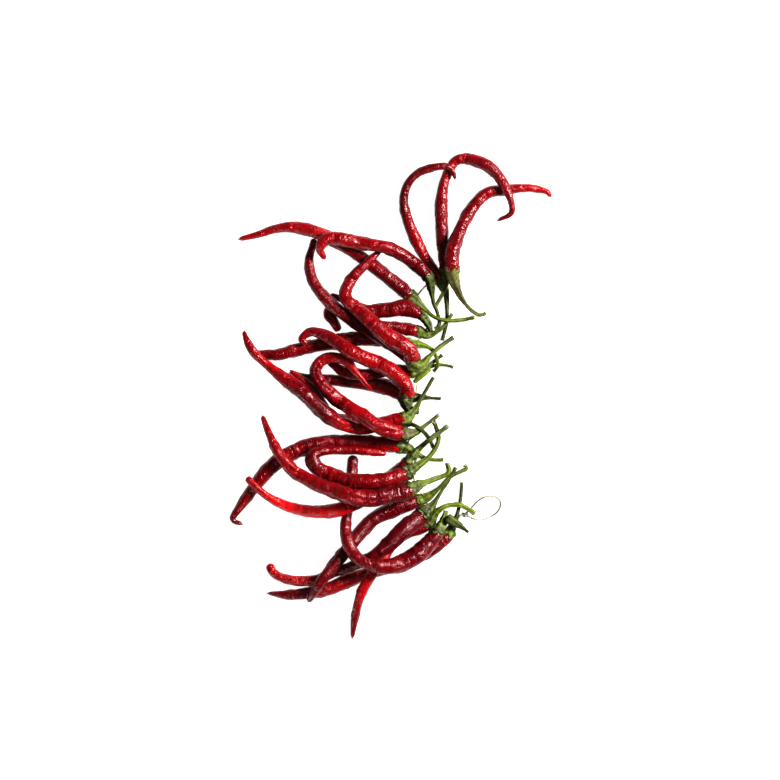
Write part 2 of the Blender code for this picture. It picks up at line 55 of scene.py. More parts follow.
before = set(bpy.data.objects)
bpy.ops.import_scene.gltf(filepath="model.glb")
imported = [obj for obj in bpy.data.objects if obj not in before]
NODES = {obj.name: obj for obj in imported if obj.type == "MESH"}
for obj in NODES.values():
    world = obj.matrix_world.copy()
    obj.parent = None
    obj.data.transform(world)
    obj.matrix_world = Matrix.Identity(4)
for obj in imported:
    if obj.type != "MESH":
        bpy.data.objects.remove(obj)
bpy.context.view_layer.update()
POD_NAMES = sorted(name[4:] for name in NODES if name.startswith("pod_"))
STALK_NAMES = sorted(name[6:] for name in NODES if name.startswith("stalk_"))

MM = 0.001
FULL_TURN = 2 * math.pi
WHITE = (1, 1, 1)

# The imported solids: how many sides their tubes have, and how many corners more a ring of
# a pod may have; then how near corners count as one, and what counts as flat and as round.
POD_SIDES = 7
STALK_SIDES = 6
TWINE_SIDES = 8
POD_SLACK = 2
JOIN = 0.001 * MM
FLAT = 0.002
ROUND = 0.05 * MM

# Where a pod meets its stalk both tubes are cut, so their last rings are set here.
END_REACH = 1.5 * MM
SAMPLE_STEP = 0.5 * MM
SHOULDER_RADIUS = 3.0 * MM
CAP_RADIUS = 3.7 * MM

# Middle lines: their fineness, how far they run on past both ends, and over how many
# of their points a bend is smoothed.
CURVE_PARTS = 24
LINE_STEP = 0.5 * MM
OVERRUN = 8 * MM
BEND_SPAN = 9

# The free loop of twine: the route of its middle line in plan, in metres, and how it
# rises to the knot at both ends.
TWINE_WIDTH = 1.3 * MM
KNOT_HEIGHT = 3.4 * MM
LOOP_RISE = 3.0 * MM
LOOP_ROUTE = (
    (0.0640, -0.0984), (0.071, -0.100), (0.079, -0.098), (0.086, -0.093), (0.088, -0.086),
    (0.085, -0.082), (0.078, -0.081), (0.071, -0.084), (0.066, -0.089), (0.0618, -0.0932),
)


@dataclass
class PodLook:
    """How one pod differs: creases, folds, tip, and its brightness in stretches from cap to tip,
    partly its own red and partly painted light and shade.
    """

    tint: tuple
    creases: float = 0.8
    folds: float = 0.3
    tip: str = "nib"


@dataclass
class StalkLook:
    """How one stalk differs.

    cap, neck and end say how dark it is there, partly its own green and partly painted light
    and shade; dry how brown it is, cut how pale its cut end is, and cone how far from the cap it
    starts to widen.
    """

    cap: float
    neck: float
    end: float
    dry: float = 0.08
    cut: float = 0.5
    cone: float = 18 * MM


# Each pod's first numbers are its brightness in stretches from cap to tip: partly its own red, partly
# painted light and shade.
POD_LOOKS = {
    "01": PodLook((0.41, 0, 0.06), creases=0.9),
    "02": PodLook((0.11, 0.21, 0.12), creases=1.2),
    "03": PodLook((0.08, 0.11, 0.3), creases=1.3),
    "04": PodLook((0.02, 0.2, 0.32)),
    "05": PodLook((0.04, 0.32, 0.3)),
    "06": PodLook((0.35, 0.02, 0.14), creases=0.6),
    "07": PodLook((0.18, 0.24, 0.18), creases=1.3),
    "08": PodLook((0.08, 0.05, 0.15), creases=0.7),
    "09": PodLook((0.14, 0.1, 0.35), creases=1.2),
    "10": PodLook((0.35, 0.35, 0.1)),
    "11": PodLook((0.29, 0.27, 0.18), creases=0.7),
    "12": PodLook((0.3, 0.6, 0, 0.05, 0.5, 0.15), creases=0.7, folds=0.9),
    "13": PodLook((0.4, 0.1, 0.02), creases=0.6),
    "14": PodLook((0.5, 0.2, 0.45)),
    "15": PodLook((0.25, 0.35, 0.25, 0.1, 0.6, 0.3), folds=0.8),
    "16": PodLook((0.4, 0.3, 0.45)),
    "17": PodLook((0.6, 0.3, 0, 0.2, 0.15, 0.05), creases=0.6),
    "18": PodLook((0.15, 0.1, 0.3, 0.05, 0.15, 0.35), creases=1.0, tip="blunt"),
    "19": PodLook((0.01, 0.3, 0.25), folds=0.7),
    "20": PodLook((0, 0, 0.9, 1, 1, 0.35), creases=0.6),
    "21": PodLook((0, 0, 0)),
    "22": PodLook((0, 0.02, 0.4), creases=1.0, tip="blunt"),
    "23": PodLook((0.02, 0.09, 0), tip="blunt"),
    "24": PodLook((0.06, 0.63, 0.11), tip="pale"),
    "25": PodLook((0.02, 0.5, 0.09), creases=0.9, tip="pale"),
}

# Each stalk's cap, neck and end darkness is partly its own green and partly painted light and shade.
STALK_LOOKS = {
    "01": StalkLook(cap=0, neck=0.76, end=0.9, cut=0.1),
    "02": StalkLook(cap=0, neck=0, end=0.42),
    "03": StalkLook(cap=0.5, neck=0.9, end=0.6, dry=0.5, cone=32 * MM),
    "04": StalkLook(cap=0.76, neck=0.73, end=0.82),
    "05": StalkLook(cap=0.72, neck=0.37, end=0.51),
    "06": StalkLook(cap=0.2, neck=0.55, end=0.79, cut=0.1),
    "07": StalkLook(cap=0.56, neck=0.46, end=0.76),
    "08": StalkLook(cap=0.62, neck=0.77, end=0.81, cut=0.1),
    "09": StalkLook(cap=0.49, neck=0.53, end=0.49),
    "10": StalkLook(cap=0.27, neck=0, end=0.78, cut=0.1),
    "11": StalkLook(cap=1, neck=0.97, end=0.97, cut=0.1),
    "12": StalkLook(cap=0.3, neck=0.71, end=0.91),
    "13": StalkLook(cap=1, neck=1, end=1, cut=0.1),
    "14": StalkLook(cap=0, neck=0, end=1, dry=0.25, cut=0.8),
    "15": StalkLook(cap=0.76, neck=0.62, end=0.87, dry=0.35, cut=1.0),
    "16": StalkLook(cap=0, neck=0.65, end=0.99, cut=0.2),
    "17": StalkLook(cap=0.72, neck=0.35, end=0.41, cut=0.2),
    "18": StalkLook(cap=0.76, neck=0.45, end=0.67, cut=1.0),
    "19": StalkLook(cap=0.73, neck=0.44, end=0.32, cut=0.8),
    "20": StalkLook(cap=0.71, neck=0.52, end=0.8, cut=0.9),
    "21": StalkLook(cap=0, neck=0.58, end=0.55, cut=0.8),
    "22": StalkLook(cap=0.79, neck=0.82, end=0.85, cut=1.0),
    "23": StalkLook(cap=0.82, neck=0, end=0.67),
    "24": StalkLook(cap=0.87, neck=0.24, end=0.33),
    "25": StalkLook(cap=0, neck=0.87, end=0.77),
    "26": StalkLook(cap=0.81, neck=0.83, end=0.75, dry=0.1, cut=0.1),
    "27": StalkLook(cap=0.73, neck=0.04, end=0),
}


# ---------------------------------------------------------------- noise and curves

HASH_STEPS = (127, 311, 749)
HASH_SEED_STEP = 1013
HASH_RATE = 12.9898
HASH_SIZE = 43758.5453


def noise(points, seed):
    """Smooth noise from -1 to 1 at each row of points, with cells one unit wide."""
    cell = np.floor(points).astype(np.int64)
    part = points - cell
    ease = part * part * part * (part * (part * 6 - 15) + 10)
    total = np.zeros(len(points))
    for corner in itertools.product((0, 1), repeat=3):
        lattice = (cell + corner) @ np.array(HASH_STEPS) + seed * HASH_SEED_STEP
        value = np.modf(np.sin(lattice * HASH_RATE) * HASH_SIZE)[0]
        total += np.prod(np.where(corner, ease, 1 - ease), axis=1) * value
    return total


@dataclass
class Grain:
    """One scale of unevenness on a tube: how long its cells are, how close they stand
    round the tube, and which draw of the noise it takes, shifted how far."""

    length: float
    spread: float
    draw: int = 0
    shift: float = 0.0

    def over(self, places, angles, seed):
        """The noise, from -1 to 1, at those places along the tube and angles round it."""
        ring = np.column_stack([np.cos(angles), np.sin(angles)]) * self.spread + self.shift
        return noise(np.column_stack([places / self.length, ring]), seed + self.draw)


@dataclass
class Sway:
    """Slow wandering along a tube, the same all round it."""

    length: float
    draw: int
    shift: float = 1.7

    def along(self, places, seed, number):
        """The noise, from -1 to 1, that the fold of that number takes along the tube."""
        draw = self.draw + number
        still = np.full((len(places), 2), self.shift + draw)
        return noise(np.column_stack([places / self.length, still]), seed + draw)


def smooth_step(values, low, high):
    """0 at low, 1 at high, and a smooth passage between; low may be the larger one."""
    part = np.clip((values - low) / (high - low), 0, 1)
    return part * part * (3 - 2 * part)


def rounded(part):
    """From 0 at the closed end of a tube to 1 where it has its full width."""
    part = np.clip(part, 0, 1)
    return np.sqrt(part * (2 - part))


def unit(vectors):
    return vectors / np.linalg.norm(vectors, axis=-1, keepdims=True)


def arc_lengths(points):
    """How far along the points each one is."""
    return np.concatenate([[0], np.cumsum(np.linalg.norm(np.diff(points, axis=0), axis=1))])


def resampled(values, along, places):
    """The rows of values, given at the lengths along, read at other places."""
    return np.column_stack([np.interp(places, along, column) for column in np.transpose(values)])


def smooth_curve(points):
    """One smooth curve through the given points (a centripetal spline)."""
    knots = np.array(points, float)
    knots = np.vstack([2 * knots[0] - knots[1], knots, 2 * knots[-1] - knots[-2]])
    fine = []
    for a, b, c, d in zip(knots, knots[1:], knots[2:], knots[3:]):
        t1 = np.linalg.norm((b - a)[:3]) ** 0.5
        t2 = t1 + np.linalg.norm((c - b)[:3]) ** 0.5
        t3 = t2 + np.linalg.norm((d - c)[:3]) ** 0.5
        for t in np.linspace(t1, t2, CURVE_PARTS, endpoint=False):
            ab = (t1 - t) / t1 * a + t / t1 * b
            bc = (t2 - t) / (t2 - t1) * b + (t - t1) / (t2 - t1) * c
            cd = (t3 - t) / (t3 - t2) * c + (t - t2) / (t3 - t2) * d
            abc = (t2 - t) / t2 * ab + t / t2 * bc
            bcd = (t3 - t) / (t3 - t1) * bc + (t - t1) / (t3 - t1) * cd
            fine.append((t2 - t) / (t2 - t1) * abc + (t - t1) / (t2 - t1) * bcd)
    return np.array(fine + [knots[-2]])


class Line:
    """A middle line with a radius, and a side and up direction at every place."""

    def __init__(self, rings):
        fine = smooth_curve(rings)
        along = arc_lengths(fine[:, :3])
        self.length = along[-1]
        count = max(int(round(self.length / LINE_STEP)), 4) + 1
        fine = resampled(fine, along, np.linspace(0, self.length, count))
        ways = unit(np.gradient(fine[:, :3], axis=0))
        before = fine[:1, :3] - ways[:1] * OVERRUN
        after = fine[-1:, :3] + ways[-1:] * OVERRUN
        self.points = np.vstack([before, fine[:, :3], after])
        self.radii = np.concatenate([fine[:1, 3], fine[:, 3], fine[-1:, 3]])
        self.along = arc_lengths(self.points) - OVERRUN
        ways = np.vstack([ways[:1], ways, ways[-1:]])
        self.side = unit(np.cross(ways, (0, 0, 1)))
        self.up = np.cross(self.side, ways)
        turn = np.gradient(ways, self.along, axis=0)
        smooth = np.ones(BEND_SPAN) / BEND_SPAN
        turn = np.column_stack([np.convolve(column, smooth, "same") for column in turn.T])
        self.bend = np.column_stack([(turn * self.side).sum(1), (turn * self.up).sum(1)])

    def centre(self, places):
        return resampled(self.points, self.along, places)

    def radius(self, places):
        return np.interp(places, self.along, self.radii)

    def outward(self, places, angles):
        side = resampled(self.side, self.along, places)
        up = resampled(self.up, self.along, places)
        return unit(np.cos(angles)[:, None] * side + np.sin(angles)[:, None] * up)

    def laid(self, places, angles, radii):
        """Points at those places and angles round the line, that far from it."""
        return self.centre(places) + radii[:, None] * self.outward(places, angles)

    def inner_bend(self, places, angles):
        """How sharply the line bends towards each angle, per metre."""
        bend = resampled(self.bend, self.along, places)
        return bend[:, 0] * np.cos(angles) + bend[:, 1] * np.sin(angles)


def strand(points):
    """A line as thick as the twine through the given points."""
    return Line(np.column_stack([points, np.full(len(points), TWINE_WIDTH / 2)]))


# ---------------------------------------------------------------- reading the frame


def solid(node):
    """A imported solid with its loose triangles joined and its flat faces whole."""
    shape = bmesh.new()
    shape.from_mesh(NODES[node].data)
    bmesh.ops.remove_doubles(shape, verts=shape.verts, dist=JOIN)
    bmesh.ops.dissolve_limit(shape, angle_limit=FLAT, verts=shape.verts, edges=shape.edges)
    return shape


def positions(vertices):
    return np.array([vertex.co for vertex in vertices])


def ring_of(places):
    """The middle of a ring of corners, and how far they stand from it."""
    centre = places.mean(axis=0)
    reach = np.linalg.norm(places - centre, axis=1)
    return centre, reach


def rings_from(face, slack):
    """Steps along a tube from its end face, ring by ring, until a ring has been cut."""
    layers = []
    layer = set(face.verts)
    seen = set(layer)
    while len(face.verts) <= len(layer) <= len(face.verts) + slack:
        layers.append(positions(layer))
        layer = {edge.other_vert(vert) for vert in layer for edge in vert.link_edges} - seen
        seen |= layer
    centres = [places.mean(axis=0) for places in layers]
    rings = []
    for index, (places, centre) in enumerate(zip(layers, centres)):
        way = centres[min(index + 1, len(centres) - 1)] - centres[max(index - 1, 0)]
        way = way / max(np.linalg.norm(way), JOIN)
        rings.append((*centre, np.linalg.norm(np.cross(places - centre, way), axis=1).mean()))
    return rings


def rings_of(node, sides, slack=0, start=None, radius=0):
    """The rings of a packed tube, leaving out any that were cut.

    A tube that is cut at one end is read from the other, and start and radius stand for
    the ring it has lost.
    """
    shape = solid(node)
    near, far = [], []
    for face in shape.faces:
        centre, reach = ring_of(positions(face.verts))
        if len(reach) == sides and np.ptp(reach) < ROUND:
            close = start is None or np.linalg.norm(centre - start) < END_REACH
            (near if close else far).append(rings_from(face, slack))
    rings = near[0] if near else [(*start, radius)]
    if far and (len(rings) + len(far[0])) * sides <= len(shape.verts):
        rings = rings + far[0][::-1]
    shape.free()
    return np.array(rings)


def surface_samples(node):
    """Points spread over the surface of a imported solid."""
    shape = solid(node)
    bmesh.ops.triangulate(shape, faces=shape.faces)
    points = []
    for face in shape.faces:
        a, b, c = positions(face.verts)
        columns = int(np.linalg.norm(b - a) / SAMPLE_STEP) + 2
        rows = int(np.linalg.norm(c - a) / SAMPLE_STEP) + 2
        u, v = np.meshgrid((np.arange(columns) + 0.5) / columns, (np.arange(rows) + 0.5) / rows)
        u, v = u[u + v < 1][:, None], v[u + v < 1][:, None]
        points.append(a + u * (b - a) + v * (c - a))
    shape.free()
    return np.vstack(points)


def meeting_place(node, other):
    """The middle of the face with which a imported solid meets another."""
    points = surface_samples(node)
    tree = KDTree(len(points))
    for index, point in enumerate(points):
        tree.insert(point, index)
    tree.balance()
    pairs = [tree.find(point) for point in surface_samples(other)]
    closest = min(apart for _, _, apart in pairs)
    meeting = [index for _, index, apart in pairs if apart < closest + SAMPLE_STEP]
    return points[meeting].mean(axis=0)


@cache
def read_lines():
    """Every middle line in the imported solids, by the name of its node."""
    lines = {"twine": Line(rings_of("twine", TWINE_SIDES))}
    for name in STALK_NAMES:
        pod, stalk = "pod_" + name, "stalk_" + name
        if name in POD_NAMES:
            start = meeting_place(pod, stalk)
            lines[pod] = Line(rings_of(pod, POD_SIDES, POD_SLACK, start, SHOULDER_RADIUS))
            end = meeting_place(stalk, pod)
            lines[stalk] = Line(rings_of(stalk, STALK_SIDES, 0, end, CAP_RADIUS)[::-1])
        else:
            lines[stalk] = Line(rings_of(stalk, STALK_SIDES))
    return lines


# ---------------------------------------------------------------- meshes


def rolled_tube(name, rings, sides, place):
    """A closed tube rolled from one flat grid, with its own UV map and attributes.

    place takes how far along (0 to 1) and round (0 to 1) each corner is, and gives its
    point and a dict of named values. The first and last rows close to a single corner.
    """
    shape = bmesh.new()
    shape.loops.layers.uv.new("UVMap")
    bmesh.ops.create_grid(shape, x_segments=rings, y_segments=sides, size=0.5, calc_uvs=True)
    flat = np.array([vert.co for vert in shape.verts])
    points, values = place(flat[:, 0] + 0.5, flat[:, 1] + 0.5)
    for vert, point in zip(shape.verts, points):
        vert.co = point
    for key, numbers in values.items():
        layer = shape.verts.layers.float.new(key)
        for vert, number in zip(shape.verts, numbers):
            vert[layer] = number
    bmesh.ops.remove_doubles(shape, verts=shape.verts, dist=JOIN)
    bmesh.ops.recalc_face_normals(shape, faces=shape.faces)
    mesh = bpy.data.meshes.new(name)
    shape.to_mesh(mesh)
    shape.free()
    mesh.shade_smooth()
    return mesh


def above_table(points, least=0.0):
    """The same points, with none lower than the least height."""
    return np.column_stack([points[:, :2], np.maximum(points[:, 2], least)])


def seam_below(v):
    """Angles round a tube whose seam is at the bottom."""
    return v * FULL_TURN - math.pi / 2


def added(name, mesh, material, node):
    """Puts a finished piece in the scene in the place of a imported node."""
    mesh.materials.append(material)
    piece = bpy.data.objects.new(name, mesh)
    bpy.context.scene.collection.objects.link(piece)
    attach(piece, "root")
    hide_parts(node)
    return piece


# ---------------------------------------------------------------- pods

POD_START = 1.6 * MM

# Lumps, closer swells and hollows. Only the deeper part of the hollows shows, and all
# unevenness fades out where a pod is thin.
LUMPS = Grain(13 * MM, 0.7, 1, 7.3)
SWELLS = Grain(5 * MM, 0.85, 2, 7.3)
HOLLOWS = Grain(2.6 * MM, 1.8, 12, 7.3)
HOLLOW_LEVEL = 0.2
SMOOTH_RADIUS = 1.0 * MM
ROUGH_RADIUS = 3.4 * MM

# Crosswise creases of two sizes. They drift along the pod, and are strongest in some
# zones and on the inside of a bend.
CREASES = (Grain(2.2 * MM, 1.5, 5, 3.1), Grain(1.3 * MM, 1.5, 7, 3.1))
CREASE_THINNESS = 2.4
CREASE_SHARPNESS = 1.5
CREASE_ZONES = Grain(24 * MM, 0.8, 3, 7.3)
ZONE_EDGE = 0.45
LEAST_CREASED = 0.2
ZONE_CREASED = 0.85
MOST_CREASED = 1.6
BEND_CREASED = 2.6
MOST_BEND_CREASED = 1.5
CREASE_DRIFT = Grain(6 * MM, 1.4, 4, 7.3)
DRIFT_REACH = 1.8 * MM

# Lengthwise folds, which sway round the pod and come and go along it.
FOLDS = 4
FOLD_WIDTH = 0.28
FOLD_SWAY = Sway(30 * MM, 20)
SWAY_REACH = 0.9
FOLD_SHOWN = Sway(26 * MM, 40)
FOLD_HIDDEN_BELOW = -0.3
FOLD_FULL_ABOVE = 0.4

# How much painted shade the creases and folds put on the skin, and how its brightness wanders.
CREASE_SHADE = 0.7
FOLD_SHADE = 0.5
WARMTH = Grain(40 * MM, 1, 60)
WARMTH_REACH = 0.07


@dataclass
class Nib:
    """The point that ends a pod: how long and thick it is, and how pale."""

    length: float
    radius: float
    pale: float


NIBS = {
    "nib": Nib(1.3 * MM, 0.55 * MM, 0.5),
    "pale": Nib(1.8 * MM, 0.6 * MM, 1.0),
    "blunt": Nib(0.7 * MM, 0.9 * MM, 0.25),
}

# In lengths of the nib from the pod's very end: where the pod has narrowed to its nib,
# where it starts to, where the nib is palest and where it is red. In radii of the nib:
# how far its end is rounded.
NIB_THIN = 0.5
NIB_THICK = 2.2
NIB_PALE = 0.6
NIB_RED = 2.4
NIB_ROUND = 1.3


def creases_over(places, angles, radii, line, seed):
    """Crosswise creases over a pod, as a share of their full depth."""
    zones = smooth_step(CREASE_ZONES.over(places, angles, seed), -ZONE_EDGE, ZONE_EDGE)
    squeezed = line.inner_bend(places, angles) * radii * BEND_CREASED
    share = LEAST_CREASED + ZONE_CREASED * zones + np.clip(squeezed, 0, MOST_BEND_CREASED)
    drift = DRIFT_REACH * CREASE_DRIFT.over(places, angles, seed)
    creases = np.zeros(len(places))
    for grain in CREASES:
        thin = np.clip(1 - np.abs(grain.over(places + drift, angles, seed)) * CREASE_THINNESS, 0, 1)
        creases += thin**CREASE_SHARPNESS * grain.length / CREASES[0].length
    return creases * np.clip(share, 0, MOST_CREASED)


def folds_over(places, angles, seed):
    """Lengthwise folds over a pod, as a share of their full depth."""
    folds = np.zeros(len(places))
    for number in range(FOLDS):
        middle = FULL_TURN * number / FOLDS + SWAY_REACH * FOLD_SWAY.along(places, seed, number)
        gap = np.angle(np.exp(1j * (angles - middle)))
        shown = smooth_step(FOLD_SHOWN.along(places, seed, number), FOLD_HIDDEN_BELOW, FOLD_FULL_ABOVE)
        folds += np.exp(-((gap / FOLD_WIDTH) ** 2)) * shown
    return folds


def pod_relief(places, angles, radii, line, look, seed, size):
    """How far a pod's skin stands in or out of its round form, and how creased it is, which also
    paints shade into its creases and folds.
    """
    lumps = size.lumps * radii * LUMPS.over(places, angles, seed)
    swells = size.swells * radii * SWELLS.over(places, angles, seed)
    dents = size.dents * radii * np.minimum(HOLLOWS.over(places, angles, seed) + HOLLOW_LEVEL, 0)
    creases = look.creases * creases_over(places, angles, radii, line, seed)
    folds = look.folds * folds_over(places, angles, seed)
    deep = creases * size.crease + folds * size.fold * radii
    relief = (lumps + swells + dents - deep) * smooth_step(radii, SMOOTH_RADIUS, ROUGH_RADIUS)
    return relief, np.clip(CREASE_SHADE * creases + FOLD_SHADE * folds, 0, 1)


def pod_mesh(name, line, look, seed, size):
    """A pod's skin: full at the cap, creased and folded, narrowing to its tip."""
    nib = NIBS[look.tip]
    total = line.length + nib.length
    stretches = (np.arange(len(look.tint)) + 0.5) / len(look.tint)

    def place(u, v):
        places = u * total
        angles = seam_below(v)
        back = total - places
        radii = line.radius(np.minimum(places, line.length)) * size.fullness
        thick = smooth_step(back, nib.length * NIB_THIN, nib.length * NIB_THICK)
        radii = nib.radius + (radii - nib.radius) * thick
        ends = rounded(places / POD_START) * rounded(back / (nib.radius * NIB_ROUND))
        relief, creased = pod_relief(places, angles, radii, line, look, seed, size)
        points = line.laid(places, angles, (radii + relief) * ends)
        # Painted light and shade: the brightness by stretches is partly the pod's own red and partly
        # painted light and shade, and the creased share paints shade into the creases and folds. A
        # slow random wander is added to the brightness.
        warmth = WARMTH_REACH * WARMTH.over(places, angles, seed)
        return above_table(points), {
            "along": places,
            "creased": creased,
            "pale": smooth_step(back, nib.length * NIB_RED, nib.length * NIB_PALE) * nib.pale,
            "tint": np.clip(np.interp(u, stretches, look.tint) + warmth, 0, 1),
        }

    return rolled_tube(name, int(total / size.step), size.sides, place)


# ---------------------------------------------------------------- stalks

# A stalk's rows: its dished cut end, an even run, the lap of its cap over the pod and
# the tuck back under the cap's edge.
END_WIDTHS = (0.0, 0.5, 0.78, 0.93, 1.0)
END_DIPS = (0.5 * MM, 0.42 * MM, 0.05 * MM, 0.0, 0.0)
END_ROWS = len(END_WIDTHS) - 1
LAP_ROWS = 6
TUCK_ROWS = 3
TUCK_DEPTH = 0.6 * MM
TUCK_WIDTH = 0.6

# The cap: five lobes of uneven reach, a lip, and how it swells from the stalk.
LOBES = 5
LOBE_FULLNESS = 0.8
LOBE_LEAST = 0.75
LOBE_UNEVEN = 0.5
LOBE_CLOSENESS = 1.4
CAP_REACH = 1.6 * MM
LOBE_REACH = 3.4 * MM
CAP_LIP = 0.5 * MM
LIP_THINNING = 0.6
CAP_EDGE = 0.45 * MM
CAP_DEPTH = 6 * MM
CAP_POINTS = 6
JOINT_STEP = 2 * MM
SHOULDER_PLACE = 5 * MM
USUAL_SHOULDER = 5 * MM
MOST_REACH = 1.2
BELL_SHARE = 0.98
BELL_CURVE = 1.25
THIN_PLACE = 4 * MM
FLARE_LENGTH = 15 * MM
FLARE_WIDENING = 0.1
SKIN_START = 0.5 * MM
DRAPE_BEFORE = 2.5 * MM
DRAPE_BEYOND = 0.3 * MM

# Ribs and roughness, as shares of the radius. The ribs turn by one radian in RIB_TWIST.
RIB_TWIST = 16 * MM
RIB_DEPTH = 0.12
RIB_LOSS = 0.05
STALK_ROUGH = Grain(2.2 * MM, 1.2, 3)
STALK_SLOW = Grain(7 * MM, 0.6, 4)
ROUGH_DEPTH = 0.09
SLOW_DEPTH = 0.10
PINCH_FROM = 2.6 * MM
PINCH_TO = 0.8 * MM
PINCH_DEPTH = 0.14

# Where along a stalk its shades are read, how much they wander, and the cut end's rows.
SHADE_PLACES = (0, 0.35, 0.72, 0.9, 1)
SHADE_WANDER = 0.12
END_DRYNESS = 0.5
CUT_ROWS = 2
CUT_EDGE = 0.35


def joint_line(line, pod_line):
    """One middle line along a stalk and on into the shoulder of its pod."""
    stalk = line.centre(np.append(np.arange(0, line.length, JOINT_STEP), line.length))
    pod = pod_line.centre(np.linspace(0, CAP_DEPTH, CAP_POINTS + 1)[1:])
    return strand(np.vstack([stalk, pod]))


def lobes_round(angles, seed):
    """How far the cap's lobes reach at each angle, as a share of their full reach."""
    lobe = 0.5 + 0.5 * np.cos(LOBES * angles + seed)
    ring = np.column_stack([np.cos(angles), np.sin(angles), np.zeros(len(angles))])
    return lobe**LOBE_FULLNESS * (LOBE_LEAST + LOBE_UNEVEN * noise(ring * LOBE_CLOSENESS, seed))


def cap_radii(places, lap, line, pod_line, cone):
    """The stalk's own thickness, its bell towards the pod, and the cap draped over the pod."""
    shoulder = line.length
    full = pod_line.radius(SHOULDER_PLACE)
    flare = smooth_step(places, shoulder - FLARE_LENGTH, shoulder)
    base = line.radius(np.minimum(places, shoulder)) * (1 + FLARE_WIDENING * flare)
    thin = line.radius(THIN_PLACE)
    bell = np.clip(1 - (shoulder - places) / cone, 0, 1) ** BELL_CURVE
    base = np.maximum(base, thin + (full * BELL_SHARE - thin) * bell)
    over = np.maximum(places - shoulder, 0)
    skin = pod_line.radius(np.maximum(over, SKIN_START)) * rounded(over / POD_START)
    draped = np.maximum(skin, base) + CAP_LIP * (1 - LIP_THINNING * lap)
    near = smooth_step(places, shoulder - DRAPE_BEFORE, shoulder + DRAPE_BEYOND)
    return base * (1 - near) + draped * near, flare


def stalk_mesh(name, line, pod_line, look, seed, size):
    """A ribbed stalk from its cut end to a cap whose lobes lie over the pod's shoulder."""
    shoulder = line.length
    joint = joint_line(line, pod_line)
    run = int(shoulder / size.step)
    rings = END_ROWS + run + LAP_ROWS + TUCK_ROWS
    width = min(pod_line.radius(SHOULDER_PLACE) / USUAL_SHOULDER, MOST_REACH)
    shades = (look.end, (look.end + look.neck) / 2, look.neck, look.cap, look.cap)

    def place(u, v):
        angles = seam_below(v)
        row = np.rint(u * rings)
        end = np.minimum(row, END_ROWS).astype(int)
        lap = np.clip((row - END_ROWS - run) / LAP_ROWS, 0, 1)
        tuck = row - END_ROWS - run - LAP_ROWS
        reach = (CAP_REACH + LOBE_REACH * lobes_round(angles, seed)) * width
        places = np.clip((row - END_ROWS) / run, 0, 1) * shoulder + smooth_step(lap, 0, 1) * reach
        radii, flare = cap_radii(places, lap, line, pod_line, look.cone)
        ribs = np.cos(angles * LOBES + seed + (shoulder - places) / RIB_TWIST)
        rough = ROUGH_DEPTH * STALK_ROUGH.over(places, angles, seed)
        slow = STALK_SLOW.over(places, angles, seed)
        pinch = smooth_step(places, PINCH_FROM, PINCH_TO)
        radii = radii * (1 + (RIB_DEPTH - RIB_LOSS * flare) * ribs + rough + SLOW_DEPTH * slow)
        radii = radii * (1 - PINCH_DEPTH * pinch) * np.take(END_WIDTHS, end)
        places = places + np.take(END_DIPS, end) - np.where(tuck >= 2, TUCK_DEPTH, 0)
        tucked = [radii - CAP_EDGE, radii * TUCK_WIDTH, np.zeros(len(radii))]
        radii = np.select([tuck == 1, tuck == 2, tuck == TUCK_ROWS], tucked, radii)
        points = joint.laid(places, angles, radii)
        # Painted light and shade: the darkness from end to cap is partly the stalk's own green and
        # partly painted light and shade.
        shade = np.interp(np.clip(places / shoulder, 0, 1), SHADE_PLACES, shades)
        return above_table(points), {
            "ribbed": ribs,
            "shade": np.clip(shade + SHADE_WANDER * slow, 0, 1),
            "dry": np.clip(look.dry * (1 + slow + END_DRYNESS * pinch), 0, 1),
            "cut": np.where(row <= CUT_ROWS, 1.0, CUT_EDGE * pinch) * look.cut,
            "cap": flare,
        }

    return rolled_tube(name, rings, size.sides, place)


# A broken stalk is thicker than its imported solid, and tapers towards its thin end.
STUB_FULLNESS = 1.3
STUB_TAPER = 0.25
STUB_TIP = 1.2 * MM
TORN_END = 2.2 * MM
THIN_END = 1.0 * MM
STUB_TWIST = 14 * MM
STUB_ROUGH = Grain(1.8 * MM, 1.3, 1)
STUB_SLOW = Grain(6 * MM, 0.7)
STUB_RIB_DEPTH = 0.08
STUB_ROUGH_DEPTH = 0.07
STUB_SLOW_DEPTH = 0.08
STUB_END_FROM = 1.6 * MM
STUB_END_TO = 0.4 * MM
STUB_END_DRYNESS = 0.2
STUB_SHADE_CHANGE = 0.3
STUB_SHADE_WANDER = 0.15


def stub_mesh(name, line, look, seed, size):
    """A broken stalk that kept no pod: ribbed, torn at one end and thin at the other."""
    total = line.length

    def place(u, v):
        places = u * total
        angles = seam_below(v)
        slow = STUB_SLOW.over(places, angles, seed)
        rough = STUB_ROUGH.over(places, angles, seed)
        ribs = np.cos(angles * LOBES + seed + places / STUB_TWIST)
        uneven = STUB_RIB_DEPTH * ribs + STUB_ROUGH_DEPTH * rough + STUB_SLOW_DEPTH * slow
        ends = rounded(places / TORN_END) * rounded((total - places) / THIN_END)
        base = np.maximum(line.radius(places) * STUB_FULLNESS * (1 - STUB_TAPER * u), STUB_TIP)
        points = line.laid(places, angles, base * (1 + uneven) * ends)
        near_end = smooth_step(np.minimum(places, total - places), STUB_END_FROM, STUB_END_TO)
        # Painted light and shade: the darkness along the broken stalk is partly its own green and
        # partly painted light and shade.
        shade = look.neck + STUB_SHADE_CHANGE * (u - 0.5) + STUB_SHADE_WANDER * slow
        return above_table(points), {
            "ribbed": ribs,
            "shade": np.clip(shade, 0, 1),
            "dry": np.clip(look.dry * (1 + slow) + STUB_END_DRYNESS * near_end, 0, 1),
            "cut": near_end * look.cut,
            "cap": np.zeros(len(places)),
        }

    return rolled_tube(name, int(total / size.step), size.sides, place)


# ---------------------------------------------------------------- twine

